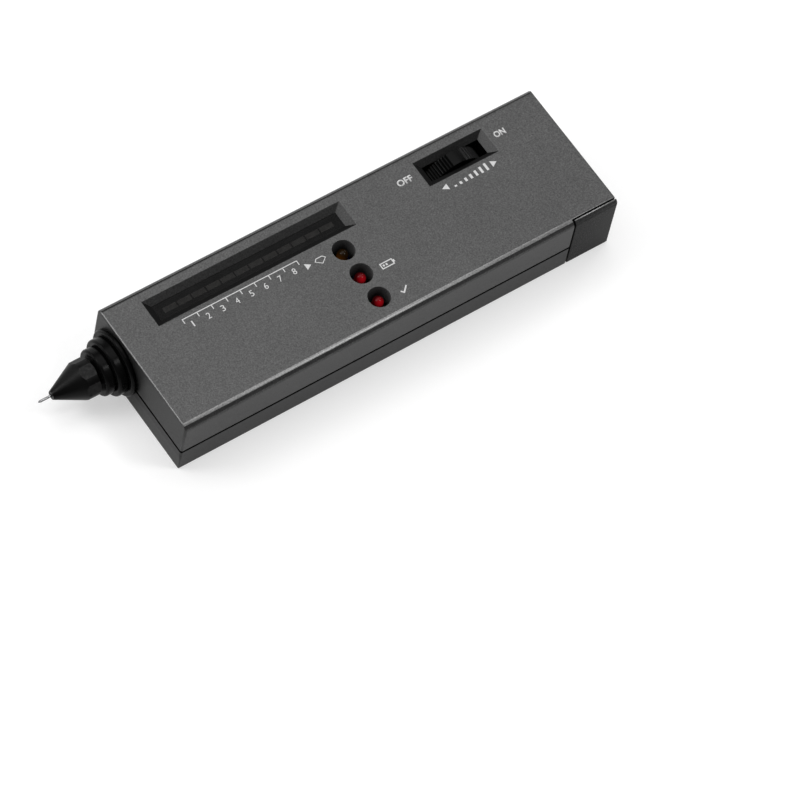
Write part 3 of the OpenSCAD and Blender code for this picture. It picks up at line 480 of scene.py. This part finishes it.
def coil_spring(name, node):
    """Compression spring with closed end turns, in the place of a CAD node."""
    low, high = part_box(node)
    middle = (low + high) / 2
    radius = (high.y - low.y) / 2 - SPRING_WIRE / 2
    span = high.x - low.x - SPRING_WIRE
    pitch = (span - 2 * SPRING_WIRE) / (SPRING_TURNS - 2)
    along = Vector((1, 0, 0))
    bm = bmesh.new()
    rings = []
    for k in range(SPRING_TURNS * SPRING_RINGS + 1):
        turn = k / SPRING_RINGS
        open_turns = min(max(turn - 1, 0), SPRING_TURNS - 2)
        x = pitch * open_turns + SPRING_WIRE * (turn - open_turns)
        out = Vector((0, math.cos(math.tau * turn), math.sin(math.tau * turn)))
        wire = Vector((low.x + SPRING_WIRE / 2 + x, middle.y, middle.z)) + out * radius
        ring = []
        for j in range(SPRING_SIDES):
            angle = math.tau * j / SPRING_SIDES
            side = out * math.cos(angle) + along * math.sin(angle)
            ring.append(bm.verts.new(wire + side * SPRING_WIRE / 2))
        rings.append(ring)
    for one, two in zip(rings, rings[1:]):
        for j in range(SPRING_SIDES):
            n = (j + 1) % SPRING_SIDES
            bm.faces.new([one[j], one[n], two[n], two[j]]).smooth = True
    bm.faces.new(rings[0])
    bm.faces.new(rings[-1])
    bmesh.ops.recalc_face_normals(bm, faces=bm.faces)
    mesh = bpy.data.meshes.new(name)
    bm.to_mesh(mesh)
    bm.free()
    mesh.materials.append(steel)
    obj = bpy.data.objects.new(name, mesh)
    bpy.context.scene.collection.objects.link(obj)
    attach(obj, "housing")
    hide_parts(node)
    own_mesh(obj)


coil_spring("needle_spring", "probe_spring")

# Prints on the top face

PRINT_T = 0.02 * MM


def print_piece(name, build):
    """A thin printed mark; build fills a bmesh with flat faces on the top face."""
    bm = bmesh.new()
    build(bm)
    rim = [edge.link_loops[0] for edge in bm.edges if edge.is_boundary]
    sides = [(loop.vert, loop.link_loop_next.vert, loop.face) for loop in rim]
    raised = {v: bm.verts.new(v.co + Vector((0, 0, PRINT_T))) for v in bm.verts[:]}
    for face in bm.faces[:]:
        bm.faces.new([raised[v] for v in face.verts], face)
    for one, two, face in sides:
        bm.faces.new([one, two, raised[two], raised[one]], face)
    bmesh.ops.recalc_face_normals(bm, faces=bm.faces)
    mesh = bpy.data.meshes.new(name)
    bm.to_mesh(mesh)
    bm.free()
    obj = bpy.data.objects.new(name, mesh)
    bpy.context.scene.collection.objects.link(obj)
    mesh.materials.append(print_grey)
    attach(obj, "housing")


def polygon(bm, points):
    bm.faces.new([bm.verts.new(at(x, y)) for x, y in points])


def quad(bm, x0, y0, x1, y1):
    polygon(bm, [(x0, y0), (x1, y0), (x1, y1), (x0, y1)])


# Sizes of the prints are in millimetres
SCALE_PARTS = 8
SCALE_X = 16.45
SCALE_STEP = 4.33
SCALE_Y = 6.6
TICK = 1.3
LINE = 0.24
NUMBER_Y = 3.45
NUMBER_TALL = 1.75
NUMBER_WIDE = 1.05
ONE_WIDE = 0.36
NUMBER_LEFT = 0.55      # from the middle of a part of the scale to its number's left side
BARS = 7
BAR_X = 99.3
BAR_Y = 4.6
BAR_STEP = 1.7
BAR_WIDE = 0.7
BAR_TALL = 0.5
BAR_RISE = 0.29


def scale_marks(bm):
    x1 = SCALE_X + SCALE_PARTS * SCALE_STEP
    quad(bm, SCALE_X - LINE / 2, SCALE_Y - LINE / 2, x1 + LINE / 2, SCALE_Y + LINE / 2)
    for i in range(SCALE_PARTS + 1):
        x = SCALE_X + i * SCALE_STEP
        quad(bm, x - LINE / 2, SCALE_Y - TICK, x + LINE / 2, SCALE_Y - LINE / 2)


def pointers(bm):
    polygon(bm, [(52.15, 2.95), (53.75, 3.85), (52.15, 4.85)])
    polygon(bm, [(95.9, 5.75), (97.75, 4.75), (97.75, 6.6)])
    polygon(bm, [(113.2, 5.75), (111.5, 6.65), (111.5, 4.75)])


def outline(bm, outer, inner):
    """Closed outline between two polygons with the same number of corners."""
    for i in range(len(outer)):
        j = (i + 1) % len(outer)
        polygon(bm, [outer[i], outer[j], inner[j], inner[i]])


def gem_mark(bm):
    outline(bm, [(54.9, 3.9), (55.6, 4.7), (57.6, 4.7), (58.3, 3.9), (56.6, 2.6)],
            [(55.2, 3.87), (55.7, 4.48), (57.5, 4.48), (58.0, 3.87), (56.6, 2.87)])


def volume_mark(bm):
    for i in range(BARS):
        x = BAR_X + BAR_STEP * i
        quad(bm, x, BAR_Y, x + BAR_WIDE, BAR_Y + BAR_TALL + BAR_RISE * i)


def battery_mark(bm):
    outline(bm, [(68.8, -6.5), (72.6, -6.5), (72.6, -4.7), (68.8, -4.7)],
            [(69.1, -6.2), (72.3, -6.2), (72.3, -5.0), (69.1, -5.0)])
    quad(bm, 72.6, -5.95, 73.0, -5.25)
    for x in (69.45, 70.3):
        quad(bm, x, -5.9, x + 0.5, -5.3)


def ready_mark(bm):
    polygon(bm, [(68.9, -14.1), (69.25, -13.85), (69.75, -14.4), (71.2, -13.0), (71.5, -13.3),
                 (69.75, -14.95)])


def lettering(name, text, x, y, height, width, bold):
    """Text with its lower left corner at x, y; bold widens the strokes."""
    curve = bpy.data.curves.new(name, "FONT")
    curve.body = text
    curve.resolution_u = 6
    curve.offset = bold
    source = bpy.data.objects.new(name + "_source", curve)
    bpy.context.scene.collection.objects.link(source)
    depsgraph = bpy.context.evaluated_depsgraph_get()
    mesh = bpy.data.meshes.new_from_object(source.evaluated_get(depsgraph))
    bpy.data.objects.remove(source)
    xs = [v.co.x for v in mesh.vertices]
    ys = [v.co.y for v in mesh.vertices]
    x_min, y_min = min(xs), min(ys)
    x_scale = width / (max(xs) - x_min)
    y_scale = height / (max(ys) - y_min)

    def build(bm):
        bm.from_mesh(mesh)
        for v in bm.verts:
            v.co = at(x + (v.co.x - x_min) * x_scale, y + (v.co.y - y_min) * y_scale)

    print_piece(name, build)
    bpy.data.meshes.remove(mesh)


print_piece("scale_marks", scale_marks)
print_piece("pointers", pointers)
print_piece("gem_mark", gem_mark)
print_piece("volume_mark", volume_mark)
print_piece("battery_mark", battery_mark)
print_piece("ready_mark", ready_mark)
for i in range(SCALE_PARTS):
    lettering(f"scale_number_{i + 1}", str(i + 1), SCALE_X + (i + 0.5) * SCALE_STEP - NUMBER_LEFT,
              NUMBER_Y, NUMBER_TALL, ONE_WIDE if i == 0 else NUMBER_WIDE, 0.0)
lettering("switch_off", "OFF", 86.6, 11.6, 1.95, 4.6, 0.03)
lettering("switch_on", "ON", 117.3, 11.55, 1.9, 3.4, 0.035)

for name in SHELLS:
    soften(name)

# Studio

CAMERA_PLACE = (-0.43808131, -0.41463645, 0.96900418)
CAMERA_TURN = (0.92452836, 0.22550041, -0.14533249, -0.27069418)
CAMERA_LENS = 200.9009
WORLD_LIGHT = 0.22
FLOOR_HALF = 4.0
FLOOR_DROP = 0.05 * MM
FLOOR_GREY = 0.55
FLOOR_LIFT = 0.48       # added where the floor is seen, so that it is white

camera = bpy.data.objects.new("camera", bpy.data.cameras.new("camera"))
camera.data.sensor_width = 36.0
camera.data.lens = CAMERA_LENS
camera.data.clip_start = 0.05
camera.data.clip_end = 20.0
camera.location = CAMERA_PLACE
camera.rotation_mode = "QUATERNION"
camera.rotation_quaternion = Quaternion(CAMERA_TURN)
bpy.context.scene.collection.objects.link(camera)
bpy.context.scene.camera = camera


def area_light(name, place, target, size, power, size_y=None):
    """Soft light at place that faces target."""
    data = bpy.data.lights.new(name, "AREA")
    data.energy = power
    data.shape = "RECTANGLE"
    data.size = size
    data.size_y = size_y or size
    obj = bpy.data.objects.new(name, data)
    obj.location = place
    obj.rotation_mode = "QUATERNION"
    obj.rotation_quaternion = (Vector(target) - Vector(place)).to_track_quat("-Z", "Y")
    obj.visible_camera = False
    bpy.context.scene.collection.objects.link(obj)


area_light("top", (-0.05, 0.40, 1.10), (-0.05, 0.40, 0), 1.6, 9.5, 1.0)
area_light("left", (-0.74, 0.43, 0.84), (0, 0, 0), 0.3, 2.4)
area_light("fill", (-0.85, 0.95, 0.42), (0, 0, 0), 0.7, 4.0, 0.5)
area_light("right", (1.15, 0.47, 0.45), (0, 0, 0), 0.4, 2.6)
area_light("edge", (0.46, -0.42, 1.02), (0, 0, 0), 0.25, 3.6)
area_light("back", (0.5, 1.5, 0.35), (0, 0, 0), 1.6, 4.0, 0.6)

world = bpy.data.worlds.new("world")
bpy.context.scene.world = world
world.use_nodes = True
background = world.node_tree.nodes["Background"]
background.inputs["Strength"].default_value = WORLD_LIGHT
background.inputs["Color"].default_value = (1, 1, 1, 1)

bm = bmesh.new()
bmesh.ops.create_grid(bm, x_segments=1, y_segments=1, size=FLOOR_HALF)
mesh = bpy.data.meshes.new("floor")
bm.to_mesh(mesh)
bm.free()
floor = bpy.data.objects.new("floor", mesh)
floor.location.z = cad_low.z - FLOOR_DROP
bpy.context.scene.collection.objects.link(floor)
mat, tree, bsdf = new_material("floor")
bsdf.inputs["Base Color"].default_value = (FLOOR_GREY, FLOOR_GREY, FLOOR_GREY, 1)
bsdf.inputs["Roughness"].default_value = 0.9
bsdf.inputs["Specular IOR Level"].default_value = 0.1
path = add(tree, "ShaderNodeLightPath")
seen = add(tree, "ShaderNodeMath", operation="MAXIMUM")
tree.links.new(path.outputs["Is Camera Ray"], seen.inputs[0])
tree.links.new(path.outputs["Is Glossy Ray"], seen.inputs[1])
seen_too = add(tree, "ShaderNodeMath", operation="MAXIMUM")
tree.links.new(seen.outputs["Value"], seen_too.inputs[0])
tree.links.new(path.outputs["Is Transmission Ray"], seen_too.inputs[1])
lift = add(tree, "ShaderNodeMath", operation="MULTIPLY")
lift.inputs[1].default_value = FLOOR_LIFT
tree.links.new(seen_too.outputs["Value"], lift.inputs[0])
bsdf.inputs["Emission Color"].default_value = (1, 1, 1, 1)
tree.links.new(lift.outputs["Value"], bsdf.inputs["Emission Strength"])
mesh.materials.append(mat)
floor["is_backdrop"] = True

bpy.context.scene.view_settings.view_transform = "Standard"

low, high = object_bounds()
